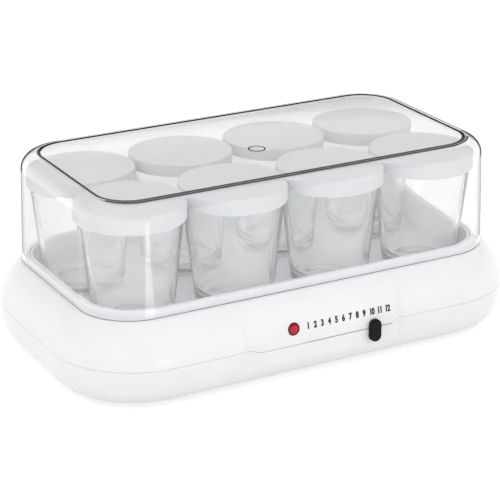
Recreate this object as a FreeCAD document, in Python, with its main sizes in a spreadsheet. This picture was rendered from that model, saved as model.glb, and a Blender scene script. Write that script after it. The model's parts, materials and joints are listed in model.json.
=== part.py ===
import FreeCAD, Part
import math
import os
import Sketcher

# Yogurt maker: a pillow-shaped heated base with a time slider, eight lidded jars and a clear cover.
# +Z is up, the front faces -Y, the origin is on the table under the middle of the base.

# Driving sizes in millimetres; names that end in _slope are plain ratios.
SIZES = {
    # clear cover
    "cover_end_room": 4.4,
    "cover_side_room": 6.6,
    "cover_headroom": 8.2,
    "cover_corner": 36,
    "cover_wall": 2,
    "cover_slope": 0.028,
    "cover_round": 10.7,
    "cover_seat_gap": 0.1,
    "cover_top_strip": 24,
    "gate_radius": 5.8,
    "gate_ring": 1,
    "gate_depth": 0.5,
    "gate_front": 6,
    # pillow-shaped base
    "foot_rise": 2.5,
    "seam_rise": 25.5,
    "ledge_rise": 27,
    "bulge": 16.45,
    "base_corner_step": 4.5,
    "upper_round": 33.2,
    "side_round": 54,
    "heel_rise": 8.7,
    "shell_wall": 3.2,
    "deck_wall": 2.4,
    "seam_gap": 0.2,
    "floor_strip": 10,
    "rim_gap": 1.3,
    "rim_rise": 5,
    "rim_wall": 2,
    "flange_width": 11.7,
    "weld_overlap": 0.5,
    # warming tray and heater
    "well_depth": 16.5,
    "flange_sheet": 3,
    "tray_sheet": 1.5,
    "tray_side_gap": 0.4,
    "tray_boss_radius": 3.5,
    "tray_boss_gap": 0.3,
    "tray_screw_y": 30,
    "plate_gap": 1.5,
    "plate_sheet": 1,
    "heater_radius": 1.5,
    "heater_gap": 0.1,
    "heater_end_room": 26.5,
    "heater_room": 8,
    "clamp_width": 12,
    "clamp_sheet": 1.2,
    "clamp_margin": 3,
    "clamp_edge_room": 2.5,
    "clamp_end_room": 16,
    "thermostat_radius": 8,
    "thermostat_height": 9,
    "thermostat_flange": 11,
    "blade_width": 6.3,
    "blade_sheet": 0.8,
    "blade_length": 7,
    "blade_offset": 3.5,
    "fuse_radius": 2,
    "fuse_length": 13,
    "fuse_wire_radius": 0.5,
    "fuse_wire_length": 6,
    # control panel
    "panel_length": 111,
    "panel_depth": 1.8,
    "panel_ramp": 3,
    "panel_top_rise": 22,
    "panel_seam_drop": 3.4,
    "scale_first_x": -11.6,
    "scale_pitch": 5.33,
    "apron_gap": 0.36,
    "apron_left_run": 10.5,
    "slot_height": 0.62,
    "slot_margin": 1,
    "knob_width": 7.8,
    "knob_height": 14.8,
    "knob_depth": 3.4,
    "knob_corner": 3.7,
    "knob_edge": 0.9,
    "knob_gap": 0.4,
    "knob_drop": 1.2,
    "stem_width": 5,
    "stem_gap": 0.1,
    "carrier_width": 14,
    "carrier_height": 10,
    "carrier_sheet": 2,
    "carrier_gap": 0.4,
    "spring_bow": 2.5,
    "spring_sheet": 0.35,
    "spring_width": 6,
    "spring_gap": 0.3,
    "guide_wall": 2,
    "guide_margin": 1.4,
    "lamp_x": -22,
    "lamp_rise": 7.3,
    "lens_radius": 4,
    "lens_gap": 0.2,
    "lens_flange": 1.5,
    "lens_flange_step": 1.5,
    "lens_proud": 0.4,
    "lens_dome": 0.9,
    "lamp_holder_length": 11.2,
    "lamp_radius": 3,
    "lamp_length": 9,
    "lamp_gap": 0.2,
    # fasteners, feet and wiring
    "post_radius": 4.8,
    "post_inset": 0.4,
    "post_end_inset": 50,
    "post_joint_rise": 2,
    "screw_radius": 1.5,
    "screw_gap": 0.05,
    "screw_head_radius": 3.2,
    "screw_head_height": 2.2,
    "screw_head_gap": 0.3,
    "screw_length": 22,
    "screw_seat_drop": 8,
    "tray_screw_head_radius": 4.5,
    "tray_screw_bite": 3.9,
    "foot_end_inset": 27,
    "foot_side_inset": 19.5,
    "foot_radius": 8,
    "foot_edge": 0.8,
    "foot_stem_radius": 2.9,
    "foot_stem_gap": 0.2,
    "foot_bulb_radius": 3.8,
    "foot_bulb_height": 2,
    "gland_end_inset": 75,
    "gland_z": 20,
    "gland_bore": 3.4,
    "gland_neck": 4.8,
    "gland_flange": 7.5,
    "gland_inner_flange": 6,
    "gland_gap": 0.2,
    "gland_tail": 1.8,
    "block_length": 30,
    "block_width": 18,
    "block_height": 14,
    "block_inset": 35.5,
    "block_pitch": 9,
    "block_wire_radius": 1.6,
    "block_wire_depth": 5,
    "block_wire_rise": 7.3,
    "block_screw_radius": 1.9,
    "block_screw_gap": 0.2,
    "block_screw_depth": 5,
    "lead_radius": 1.1,
    "lead_bend": 5,
    "lead_stand": 12,
    "lead_fuse_stand": 5.5,
    "lead_low_z": 11,
    "lead_high_z": 20,
    "lead_front_y": -30,
    # jars and lids
    "jar_seat_gap": 0.1,
    "jar_height": 76.7,
    "jar_rim_radius": 33.15,
    "jar_foot_radius": 25.2,
    "jar_wall": 2.6,
    "jar_base": 5,
    "jar_heel": 5,
    "jar_inner_heel": 9,
    "jar_lip": 0.9,
    "jar_punt": 1.2,
    "jar_punt_margin": 3,
    "lid_fit": 0.35,
    "lid_gap_x": 2,
    "lid_gap_y": 4.2,
    "lid_height": 9.6,
    "lid_top": 1.5,
    "lid_wall": 0.9,
    "lid_edge": 1.2,
    "lid_seat_gap": 0.2,
}
JAR_COLUMNS = 4
JAR_ROWS = 2
SCALE_MARKS = 12
REST_MARK = 10
CLAMP_COUNT = 4

doc = FreeCAD.newDocument("yogurt_maker")
sheet = doc.addObject("Spreadsheet::Sheet", "Sizes")
for row, (alias, number) in enumerate(SIZES.items(), start=1):
    sheet.set(f"A{row}", alias)
    sheet.set(f"B{row}", str(number))
    sheet.setAlias(f"B{row}", alias)
doc.recompute()


class Size:
    """A length with its value and the sheet expression that it comes from."""

    def __init__(self, text, value):
        self.text = text
        self.value = value

    @staticmethod
    def of(item):
        if isinstance(item, Size):
            return item
        return Size(str(item), float(item))

    def __add__(self, other):
        other = Size.of(other)
        return Size(f"({self.text} + {other.text})", self.value + other.value)

    def __sub__(self, other):
        other = Size.of(other)
        return Size(f"({self.text} - {other.text})", self.value - other.value)

    def __mul__(self, other):
        other = Size.of(other)
        return Size(f"({self.text} * {other.text})", self.value * other.value)

    def __truediv__(self, other):
        other = Size.of(other)
        return Size(f"({self.text} / {other.text})", self.value / other.value)

    def __rsub__(self, other):
        return Size.of(other) - self

    def __rtruediv__(self, other):
        return Size.of(other) / self

    def __neg__(self):
        return Size(f"(0 - {self.text})", -self.value)

    __radd__ = __add__
    __rmul__ = __mul__


def root(item):
    return Size(f"sqrt({item.text})", math.sqrt(item.value))


class Sheet:
    """Every cell of the sheet as a Size, by its alias."""


s = Sheet()
for alias in SIZES:
    setattr(s, alias, Size(f"Sizes.{alias}", sheet.get(alias)))


# Document helpers


def new_body(label):
    body = doc.addObject("PartDesign::Body", label)
    body.Label = label
    return body


def plane_sketch(body, name, role, height=None):
    """A sketch on one of the body's own origin planes, raised by height along the plane's normal."""
    sketch = body.newObject("Sketcher::SketchObject", name)
    plane = next(item for item in body.Origin.OriginFeatures if item.Role == role)
    sketch.AttachmentSupport = [(plane, "")]
    sketch.MapMode = "FlatFace"
    if height is not None:
        sketch.setExpression("AttachmentOffset.Base.z", height.text)
    doc.recompute()
    return sketch


def pin_point(sketch, geometry, vertex, x, y):
    """Fix a vertex at the sheet's coordinates, or on an axis where a coordinate is plain zero."""
    origin = -1
    for kind, item, axis in (("DistanceX", x, -2), ("DistanceY", y, -1)):
        if isinstance(item, Size):
            index = sketch.addConstraint(
                Sketcher.Constraint(kind, origin, 1, geometry, vertex, item.value))
            sketch.setExpression(f"Constraints[{index}]", item.text)
        else:
            sketch.addConstraint(Sketcher.Constraint("PointOnObject", geometry, vertex, axis))


def arc_geometry(start, end, radius, turn):
    """An arc of less than a half circle; turn is 1 for a left bend and -1 for a right bend."""
    chord = end - start
    middle = (start + end) * 0.5
    offset = math.sqrt(max(radius ** 2 - (chord.Length / 2) ** 2, 0))
    normal = FreeCAD.Vector(-chord.y, chord.x, 0).normalize()
    centre = middle + normal * offset * turn
    first, last = (start, end) if turn > 0 else (end, start)
    angle_first = math.atan2(first.y - centre.y, first.x - centre.x)
    angle_last = math.atan2(last.y - centre.y, last.x - centre.x)
    circle = Part.Circle(centre, FreeCAD.Vector(0, 0, 1), radius)
    return Part.ArcOfCircle(circle, angle_first, angle_last)


def trace(sketch, points, closed=True):
    """Draw an outline: each point is (x, y), or (x, y, radius, turn) when an arc leads to it."""
    places = [FreeCAD.Vector(Size.of(p[0]).value, Size.of(p[1]).value, 0) for p in points]
    count = len(points) if closed else len(points) - 1
    ends = []
    for index in range(count):
        following = points[(index + 1) % len(points)]
        start = places[index]
        end = places[(index + 1) % len(points)]
        if len(following) == 2:
            geometry = sketch.addGeometry(Part.LineSegment(start, end))
            ends.append((geometry, 1, 2))
        else:
            radius, turn = following[2], following[3]
            geometry = sketch.addGeometry(arc_geometry(start, end, radius.value, turn))
            ends.append((geometry, 1, 2) if turn > 0 else (geometry, 2, 1))
            bound = sketch.addConstraint(Sketcher.Constraint("Radius", geometry, radius.value))
            sketch.setExpression(f"Constraints[{bound}]", radius.text)
    for index, (geometry, first, last) in enumerate(ends):
        pin_point(sketch, geometry, first, points[index][0], points[index][1])
        if index + 1 < count or closed:
            after, after_first, _ = ends[(index + 1) % count]
            sketch.addConstraint(Sketcher.Constraint("Coincident", geometry, last, after, after_first))
        else:
            pin_point(sketch, geometry, last, points[-1][0], points[-1][1])


def rounded_rectangle(length, width, corner):
    """Outline points of a rounded rectangle about the origin, from the middle of its front side."""
    half_x, half_y = length / 2, width / 2
    inner_x, inner_y = half_x - corner, half_y - corner
    return [
        (0, -half_y),
        (inner_x, -half_y),
        (half_x, -inner_y, corner, 1),
        (half_x, inner_y),
        (inner_x, half_y, corner, 1),
        (-inner_x, half_y),
        (-half_x, inner_y, corner, 1),
        (-half_x, -inner_y),
        (-inner_x, -half_y, corner, 1),
    ]


def rectangle(x_low, x_high, y_low, y_high):
    return [(x_low, y_low), (x_high, y_low), (x_high, y_high), (x_low, y_high)]


def add_circle(sketch, x, y, radius):
    centre = FreeCAD.Vector(Size.of(x).value, Size.of(y).value, 0)
    circle = Part.Circle(centre, FreeCAD.Vector(0, 0, 1), radius.value)
    geometry = sketch.addGeometry(circle)
    pin_point(sketch, geometry, 3, x, y)
    bound = sketch.addConstraint(Sketcher.Constraint("Radius", geometry, radius.value))
    sketch.setExpression(f"Constraints[{bound}]", radius.text)


def pad(body, sketch, length, symmetric=False, reverse=False):
    feature = body.newObject("PartDesign::Pad", f"{sketch.Name}_pad")
    feature.Profile = sketch
    feature.SideType = "Symmetric" if symmetric else "One side"
    feature.Reversed = reverse
    feature.setExpression("Length", length.text)
    doc.recompute()
    return feature


def pocket(body, sketch, length, symmetric=False, reverse=False):
    feature = body.newObject("PartDesign::Pocket", f"{sketch.Name}_cut")
    feature.Profile = sketch
    feature.SideType = "Symmetric" if symmetric else "One side"
    feature.Reversed = reverse
    feature.setExpression("Length", length.text)
    doc.recompute()
    return feature


def turned(label, points):
    """A body turned about its own Z axis from an outline of (radius, height) points."""
    body = new_body(label)
    sketch = plane_sketch(body, f"{label}_profile", "XZ_Plane")
    trace(sketch, points)
    feature = body.newObject("PartDesign::Revolution", f"{label}_turn")
    feature.Profile = sketch
    feature.ReferenceAxis = (sketch, ["V_Axis"])
    feature.Angle = 360
    doc.recompute()
    return body


def place(body, x, y, z, axis=None, angle=0):
    """Put a body's own origin at x, y, z, after a fixed turn about an axis."""
    if axis is not None:
        body.Placement = FreeCAD.Placement(FreeCAD.Vector(), FreeCAD.Rotation(axis, angle))
    for name, item in (("x", x), ("y", y), ("z", z)):
        body.setExpression(f"Placement.Base.{name}", Size.of(item).text)


def swept_ring(body, name, length, width, corner, section):
    """Sweep a section of (outward, height) points round a rounded rectangle."""
    path = plane_sketch(body, f"{name}_path", "XY_Plane")
    trace(path, rounded_rectangle(length, width, corner))
    profile = plane_sketch(body, f"{name}_section", "YZ_Plane")
    trace(profile, [(-(width / 2 + p[0]), *p[1:]) for p in section])
    pipe = body.newObject("PartDesign::AdditivePipe", f"{name}_sweep")
    pipe.Profile = profile
    pipe.Spine = path
    pipe.Transition = "Right corner"
    doc.recompute()


def slab(body, name, inset, low, thickness):
    """A plate whose outline lies inset inside the outline of the base ring."""
    sketch = plane_sketch(body, name, "XY_Plane", low)
    length = cover_length - inset * 2
    width = cover_width - inset * 2
    trace(sketch, rounded_rectangle(length, width, ring_corner - inset))
    return pad(body, sketch, thickness)


def group(label, bodies):
    compound = doc.addObject("Part::Compound", label)
    compound.Label = label
    compound.Links = bodies
    return compound


# Heights and outlines that several pieces share

lid_radius = s.jar_rim_radius + s.lid_fit + s.lid_wall
jar_pitch_x = lid_radius * 2 + s.lid_gap_x
jar_pitch_y = lid_radius * 2 + s.lid_gap_y
cover_length = jar_pitch_x * (JAR_COLUMNS - 1) + (lid_radius + s.cover_end_room) * 2
cover_width = jar_pitch_y * (JAR_ROWS - 1) + (lid_radius + s.cover_side_room) * 2
ring_corner = s.cover_corner + s.base_corner_step
seam = s.foot_rise + s.seam_rise
ledge = seam + s.ledge_rise
rim_top = ledge + s.rim_rise
tray_floor = ledge - s.well_depth
tray_under = tray_floor - s.tray_sheet
flange_under = tray_under - s.flange_sheet
deck_under = ledge - s.deck_wall
rim_outside = -(s.cover_wall + s.rim_gap)
rim_inside = rim_outside - s.rim_wall
flange_inside = rim_inside - s.flange_width
plate_under = tray_under - s.plate_sheet
inner_floor = s.foot_rise + s.shell_wall
jar_bottom = tray_floor + s.jar_seat_gap
lid_bottom = jar_bottom + s.jar_height + s.lid_seat_gap + s.lid_top - s.lid_height
half_width = cover_width / 2
half_length = cover_length / 2
up_axis_out = s.bulge - s.upper_round
side_axis_out = s.bulge - s.side_round


def upper_outside(height, inset=0):
    """How far the upper casing's wall, or a surface inset from it, stands out at a height."""
    radius = s.upper_round - inset
    rise = height - seam
    return up_axis_out + root(radius * radius - rise * rise)


def lower_outside(height, inset=0):
    radius = s.side_round - inset
    drop = seam - height
    return side_axis_out + root(radius * radius - drop * drop)


panel_out = s.bulge - s.panel_depth
panel_seam = seam - s.panel_seam_drop
panel_top = seam + s.panel_top_rise
panel_fall = panel_out - upper_outside(panel_top)
panel_round = (s.panel_top_rise * s.panel_top_rise + panel_fall * panel_fall) / (panel_fall * 2)
panel_axis_out = panel_out - panel_round
seam_half = s.seam_gap / 2
apron_half = s.apron_gap / 2
panel_half = s.panel_length / 2
apron_low_x = s.apron_left_run - panel_half
scale_last_x = s.scale_first_x + s.scale_pitch * (SCALE_MARKS - 1)
knob_x = s.scale_first_x + s.scale_pitch * (REST_MARK - 1)
stem_reach = s.stem_width / 2 + s.slot_margin
slot_low_x = s.scale_first_x - stem_reach
slot_high_x = scale_last_x + stem_reach
knob_back = -(half_width + panel_out + s.knob_gap)
knob_front = knob_back - s.knob_depth
carrier_bottom = panel_seam - s.carrier_height / 2
carrier_front = -(half_width + lower_outside(carrier_bottom, s.shell_wall) - s.carrier_gap)
carrier_back = carrier_front + s.carrier_sheet
guide_front = carrier_back + s.spring_bow + s.spring_gap
wall_clear = s.bulge + s.shell_wall
post_joint = seam + s.post_joint_rise
screw_seat = post_joint - s.screw_seat_drop
post_y = half_width - s.post_inset
end_post_x = half_length - s.post_inset
post_x = half_length - s.post_end_inset
POST_PLACES = [(post_x, post_y), (-post_x, post_y), (-post_x, -post_y), (post_x, -post_y),
               (end_post_x, 0), (-end_post_x, 0)]
tray_screw_x = half_length + rim_inside - s.flange_width / 2
TRAY_SCREW_PLACES = [(tray_screw_x, s.tray_screw_y), (-tray_screw_x, s.tray_screw_y),
                     (-tray_screw_x, -s.tray_screw_y), (tray_screw_x, -s.tray_screw_y)]
foot_x = half_length - s.foot_end_inset
foot_y = half_width - s.foot_side_inset
FOOT_PLACES = [(-foot_x, -foot_y), (foot_x, -foot_y), (foot_x, foot_y), (-foot_x, foot_y)]
gland_x = half_length - s.gland_end_inset
block_y = half_width - s.block_inset
lamp_z = seam + s.lamp_rise
lens_flange_radius = s.lens_radius + s.lens_flange_step
lens_seat = upper_outside(lamp_z + lens_flange_radius, s.shell_wall) - s.lens_gap
panel_at_lamp = panel_axis_out + root(panel_round * panel_round - s.lamp_rise * s.lamp_rise)
through_base = half_width + s.bulge + s.knob_depth


def circles(body, name, height, places, radius):
    sketch = plane_sketch(body, name, "XY_Plane", height)
    for x, y in places:
        add_circle(sketch, x, y, radius)
    return sketch


panel_y = -(half_width + panel_out)
panel_beyond = -(half_width + wall_clear)


def panel_cut(body, name, outline):
    """Cut the shallow control panel into the front wall, with a ramp up to the wall at each end."""
    face = plane_sketch(body, name, "YZ_Plane")
    trace(face, outline)
    pocket(body, face, s.panel_length, symmetric=True)
    faded = [(point[0] - s.panel_depth, *point[1:]) for point in outline]
    for side in (1, -1):
        near = plane_sketch(body, f"{name}_end", "YZ_Plane", s.panel_length / 2 * side)
        trace(near, outline)
        far = plane_sketch(body, f"{name}_fade", "YZ_Plane", (s.panel_length / 2 + s.panel_ramp) * side)
        trace(far, faded)
        ramp = body.newObject("PartDesign::SubtractiveLoft", f"{name}_ramp")
        ramp.Profile = near
        ramp.Sections = [far]
        ramp.Ruled = True
        doc.recompute()


# Upper casing


def make_upper_shell():
    body = new_body("base_upper_shell")
    low = seam + seam_half
    inner_radius = s.upper_round - s.shell_wall
    swept_ring(body, "upper_wall", cover_length, cover_width, ring_corner, [
        (upper_outside(low), low),
        (upper_outside(ledge), ledge, s.upper_round, -1),
        (rim_outside, ledge),
        (rim_outside, rim_top),
        (rim_inside, rim_top),
        (rim_inside, tray_under),
        (flange_inside, tray_under),
        (flange_inside, flange_under),
        (rim_outside, flange_under),
        (rim_outside, deck_under),
        (upper_outside(deck_under, s.shell_wall), deck_under),
        (upper_outside(low, s.shell_wall), low, inner_radius, 1),
    ])
    apron_inside = -(half_width + s.bulge - s.shell_wall)
    apron = plane_sketch(body, "panel_apron", "XZ_Plane", -apron_inside)
    bottom = panel_seam + apron_half
    trace(apron, [
        (apron_low_x - s.seam_gap, bottom),
        (slot_high_x + s.seam_gap, bottom),
        (panel_half - s.seam_gap, low),
        (panel_half - s.seam_gap, low + s.weld_overlap),
        (s.seam_gap - panel_half, low + s.weld_overlap),
        (s.seam_gap - panel_half, low),
    ])
    pad(body, apron, apron_inside - panel_y)
    panel_cut(body, "panel_face", [
        (panel_beyond, seam - wall_clear),
        (panel_y, seam - wall_clear),
        (panel_y, seam),
        (-(half_width + upper_outside(panel_top)), panel_top, panel_round, -1),
        (panel_beyond, panel_top),
    ])
    posts = circles(body, "posts", post_joint, POST_PLACES, s.post_radius)
    pad(body, posts, deck_under - post_joint + s.weld_overlap)
    pilots = circles(body, "pilots", post_joint, POST_PLACES, s.screw_radius + s.screw_gap)
    pocket(body, pilots, s.screw_length - s.screw_seat_drop + s.weld_overlap, reverse=True)
    boss_hole = s.tray_boss_radius + s.tray_boss_gap
    bosses = circles(body, "boss_holes", tray_under, TRAY_SCREW_PLACES, boss_hole)
    pocket(body, bosses, s.flange_sheet)
    lamp = plane_sketch(body, "lamp_hole", "XZ_Plane")
    add_circle(lamp, s.lamp_x, lamp_z, s.lens_radius + s.lens_gap)
    pocket(body, lamp, through_base, reverse=True)
    slot = plane_sketch(body, "upper_slot", "XZ_Plane")
    trace(slot, rectangle(slot_low_x, slot_high_x, panel_seam, panel_seam + s.slot_height / 2))
    pocket(body, slot, through_base, reverse=True)
    return body


# Lower casing


def make_lower_shell():
    body = new_body("base_lower_shell")
    high = seam - seam_half
    heel = s.foot_rise + s.heel_rise
    sine = (seam - heel) / s.side_round
    cosine = root(1 - sine * sine)
    heel_round = s.heel_rise / (1 - sine)
    heel_out = lower_outside(heel) - heel_round * cosine
    heel_axis = s.foot_rise + heel_round
    inner_heel = heel_round - s.shell_wall
    swept_ring(body, "lower_wall", cover_length, cover_width, ring_corner, [
        (lower_outside(high), high),
        (lower_outside(heel), heel, s.side_round, 1),
        (heel_out, s.foot_rise, heel_round, 1),
        (-s.floor_strip, s.foot_rise),
        (-s.floor_strip, inner_floor),
        (heel_out, inner_floor),
        (heel_out + inner_heel * cosine, heel_axis - inner_heel * sine, inner_heel, -1),
        (lower_outside(high, s.shell_wall), high, s.side_round - s.shell_wall, -1),
    ])
    slab(body, "floor_plate", s.floor_strip - s.weld_overlap, s.foot_rise, s.shell_wall)
    notch = plane_sketch(body, "apron_notch", "XZ_Plane")
    bottom = panel_seam - apron_half
    trace(notch, [
        (apron_low_x, bottom),
        (slot_high_x, bottom),
        (panel_half, seam),
        (-panel_half, seam),
    ])
    pocket(body, notch, through_base, reverse=True)
    panel_cut(body, "lower_panel_face", rectangle(panel_beyond, panel_y, s.foot_rise, seam + wall_clear))
    slot = plane_sketch(body, "lower_slot", "XZ_Plane")
    trace(slot, rectangle(slot_low_x, slot_high_x, panel_seam - s.slot_height / 2, panel_seam))
    pocket(body, slot, through_base, reverse=True)
    guide = plane_sketch(body, "slider_guide", "XY_Plane", inner_floor)
    reach = s.carrier_width / 2 + s.slot_margin
    trace(guide, rectangle(s.scale_first_x - reach, scale_last_x + reach,
                           guide_front, guide_front + s.guide_wall))
    guide_top = panel_seam + s.spring_width / 2 + s.guide_margin
    pad(body, guide, guide_top - inner_floor)
    tubes = circles(body, "tubes", inner_floor - s.weld_overlap, POST_PLACES, s.post_radius)
    pad(body, tubes, post_joint - inner_floor + s.weld_overlap)
    recess_radius = s.screw_head_radius + s.screw_head_gap
    recess = circles(body, "screw_recess", s.foot_rise, POST_PLACES, recess_radius)
    pocket(body, recess, screw_seat - s.foot_rise, reverse=True)
    passage = circles(body, "screw_passage", screw_seat, POST_PLACES, s.screw_radius + s.screw_head_gap)
    pocket(body, passage, s.screw_seat_drop, reverse=True)
    feet = circles(body, "foot_holes", s.foot_rise, FOOT_PLACES, s.foot_stem_radius + s.foot_stem_gap)
    pocket(body, feet, s.shell_wall, reverse=True)
    gland = plane_sketch(body, "gland_hole", "XZ_Plane")
    add_circle(gland, gland_x, s.gland_z, s.gland_neck + s.gland_gap)
    pocket(body, gland, through_base)
    return body


# Clear cover


def make_cover():
    body = new_body("clear_cover")
    low = ledge + s.cover_seat_gap
    under = lid_bottom + s.lid_height + s.cover_headroom
    top = under + s.cover_wall
    stretch = root(1 + s.cover_slope * s.cover_slope)
    sine = s.cover_slope / stretch
    cosine = 1 / stretch
    inner_round = s.cover_round - s.cover_wall
    shoulder = top - s.cover_round + s.cover_round * sine
    shoulder_out = -(shoulder - low) * s.cover_slope
    axis_out = shoulder_out - s.cover_round * cosine
    axis_height = top - s.cover_round
    swept_ring(body, "cover_wall_ring", cover_length, cover_width, s.cover_corner, [
        (0, low),
        (shoulder_out, shoulder),
        (axis_out, top, s.cover_round, -1),
        (-s.cover_top_strip, top),
        (-s.cover_top_strip, under),
        (axis_out, under),
        (axis_out + inner_round * cosine, axis_height + inner_round * sine, inner_round, 1),
        (-(s.cover_wall * stretch), low),
    ])
    roof = plane_sketch(body, "cover_roof", "XY_Plane", under)
    inset = s.cover_top_strip - s.weld_overlap
    trace(roof, rounded_rectangle(cover_length - inset * 2, cover_width - inset * 2,
                                  s.cover_corner - inset))
    pad(body, roof, s.cover_wall)
    gate = plane_sketch(body, "gate_mark", "XY_Plane", top)
    add_circle(gate, 0, -s.gate_front, s.gate_radius)
    add_circle(gate, 0, -s.gate_front, s.gate_radius - s.gate_ring)
    pocket(body, gate, s.gate_depth)
    return body


# Tray and heater


def make_tray():
    body = new_body("warming_tray")
    edge = -rim_inside + s.tray_side_gap
    tray_top = rim_top - s.tray_side_gap
    slab(body, "tray_block", edge, tray_under, tray_top - tray_under)
    hollow = plane_sketch(body, "tray_hollow", "XY_Plane", tray_top)
    inset = edge + s.tray_sheet
    trace(hollow, rounded_rectangle(cover_length - inset * 2, cover_width - inset * 2,
                                    ring_corner - inset))
    pocket(body, hollow, tray_top - tray_floor)
    bosses = circles(body, "tray_bosses", flange_under, TRAY_SCREW_PLACES, s.tray_boss_radius)
    pad(body, bosses, s.flange_sheet + s.weld_overlap)
    holes = circles(body, "tray_pilots", flange_under, TRAY_SCREW_PLACES, s.screw_radius + s.screw_gap)
    pocket(body, holes, s.tray_screw_bite + s.screw_gap, reverse=True)
    return body


def make_heater_plate():
    body = new_body("heater_plate")
    slab(body, "plate_outline", s.plate_gap - flange_inside, plate_under, s.plate_sheet)
    return body


heater_z = plate_under - s.heater_gap - s.heater_radius
plate_half_length = half_length + flange_inside - s.plate_gap
plate_half_width = half_width + flange_inside - s.plate_gap
heater_reach = plate_half_length - s.heater_end_room
heater_edge = plate_half_width - s.clamp_edge_room - s.clamp_margin - s.heater_radius
heater_inner = s.thermostat_radius + s.heater_room
heater_rows = [heater_edge, (heater_edge + heater_inner) / 2, heater_inner]
clamp_pitch = (heater_reach - s.clamp_end_room) * 2 / (CLAMP_COUNT - 1)
fuse_x = clamp_pitch


def make_heating_cord():
    """Heater wire that runs to and fro along X, with a half turn at each end."""
    body = new_body("heating_cord")
    path = plane_sketch(body, "heater_path", "XY_Plane", heater_z)
    rows = [-row for row in heater_rows] + heater_rows[::-1]
    points = [(-heater_reach, rows[0])]
    side = heater_reach
    for row, following in zip(rows, rows[1:]):
        turn = 1 if side.value > 0 else -1
        radius = (following - row) / 2
        points.append((side, row))
        points.append((side + radius * turn, row + radius, radius, turn))
        points.append((side, following, radius, turn))
        side = -side
    points.append((side, rows[-1]))
    trace(path, points, closed=False)
    section = plane_sketch(body, "heater_section", "YZ_Plane", -heater_reach)
    add_circle(section, rows[0], heater_z, s.heater_radius)
    pipe = body.newObject("PartDesign::AdditivePipe", "heater_sweep")
    pipe.Profile = section
    pipe.Spine = path
    doc.recompute()
    return body


def bridge(body, name, half_span, floor, length):
    """A strap bent up at both ends, seen along X, whose legs reach the heater plate."""
    sketch = plane_sketch(body, name, "YZ_Plane")
    inner = half_span - s.clamp_sheet
    trace(sketch, [
        (-half_span, floor - s.clamp_sheet),
        (half_span, floor - s.clamp_sheet),
        (half_span, plate_under),
        (inner, plate_under),
        (inner, floor),
        (-inner, floor),
        (-inner, plate_under),
        (-half_span, plate_under),
    ])
    pad(body, sketch, length, symmetric=True)


def make_heater_clamps():
    span = heater_edge + s.heater_radius + s.clamp_margin
    floor = heater_z - s.heater_radius - s.heater_gap
    clamps = []
    for index in range(CLAMP_COUNT):
        clamp = new_body(f"heater_clamp_{index + 1}")
        bridge(clamp, f"clamp_strap_{index + 1}", span, floor, s.clamp_width)
        place(clamp, clamp_pitch * (index - (CLAMP_COUNT - 1) / 2), 0, 0)
        clamps.append(clamp)
    return group("heater_clamps", clamps)


def make_thermostat():
    body = new_body("thermostat")
    can_bottom = plate_under - s.thermostat_height
    can = circles(body, "thermostat_can", can_bottom, [(0, 0)], s.thermostat_radius)
    pad(body, can, s.thermostat_height)
    ears = plane_sketch(body, "thermostat_ears", "XY_Plane", plate_under - s.plate_sheet)
    half_ear = s.thermostat_radius / 2
    trace(ears, rectangle(-s.thermostat_flange, s.thermostat_flange, -half_ear, half_ear))
    pad(body, ears, s.plate_sheet)
    blades = plane_sketch(body, "thermostat_blades", "XY_Plane", can_bottom)
    for side in (-1, 1):
        middle = s.blade_offset * side
        trace(blades, rectangle(middle - s.blade_sheet / 2, middle + s.blade_sheet / 2,
                                -s.blade_width / 2, s.blade_width / 2))
    pad(body, blades, s.blade_length, reverse=True)
    return body


fuse_z = plate_under - s.heater_gap - s.fuse_radius
fuse_half = s.fuse_length / 2


def make_thermal_fuse():
    wire_end = fuse_half + s.fuse_wire_length
    body = turned("thermal_fuse", [
        (0, -wire_end),
        (s.fuse_wire_radius, -wire_end),
        (s.fuse_wire_radius, -fuse_half),
        (s.fuse_radius, -fuse_half),
        (s.fuse_radius, fuse_half),
        (s.fuse_wire_radius, fuse_half),
        (s.fuse_wire_radius, wire_end),
        (0, wire_end),
    ])
    place(body, fuse_x, 0, fuse_z, FreeCAD.Vector(0, 1, 0), 90)
    return body


def make_fuse_clamp():
    body = new_body("fuse_clamp")
    span = s.fuse_radius + s.clamp_margin
    bridge(body, "fuse_strap", span, fuse_z - s.fuse_radius - s.heater_gap, s.fuse_length / 2)
    place(body, fuse_x, 0, 0)
    return body


# Control panel pieces


def make_lens():
    collar = panel_at_lamp - lens_seat + s.lens_proud
    crown = collar + s.lens_dome
    chord = s.lens_radius
    dome_round = (chord * chord + s.lens_dome * s.lens_dome) / (s.lens_dome * 2)
    body = turned("pilot_lamp_lens", [
        (0, -s.lens_flange),
        (lens_flange_radius, -s.lens_flange),
        (lens_flange_radius, 0),
        (s.lens_radius, 0),
        (s.lens_radius, collar),
        (0, crown, dome_round, 1),
    ])
    place(body, s.lamp_x, -(half_width + lens_seat), lamp_z, FreeCAD.Vector(1, 0, 0), 90)
    return body


def make_lamp_holder():
    bore = s.lamp_radius + s.lamp_gap
    bore_depth = s.lamp_length + s.lamp_gap * 2
    body = turned("lamp_holder", [
        (0, -s.lamp_holder_length),
        (lens_flange_radius, -s.lamp_holder_length),
        (lens_flange_radius, 0),
        (bore, 0),
        (bore, -bore_depth),
        (0, -bore_depth),
    ])
    place(body, s.lamp_x, -(half_width + lens_seat - s.lens_flange), lamp_z, FreeCAD.Vector(1, 0, 0), 90)
    return body


def make_neon_lamp():
    body = turned("neon_lamp", [
        (0, -s.lamp_length),
        (s.lamp_radius, -s.lamp_length),
        (s.lamp_radius, -s.lamp_radius),
        (0, 0, s.lamp_radius, 1),
    ])
    seat = lens_seat - s.lens_flange - s.lamp_gap
    place(body, s.lamp_x, -(half_width + seat), lamp_z, FreeCAD.Vector(1, 0, 0), 90)
    return body


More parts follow.
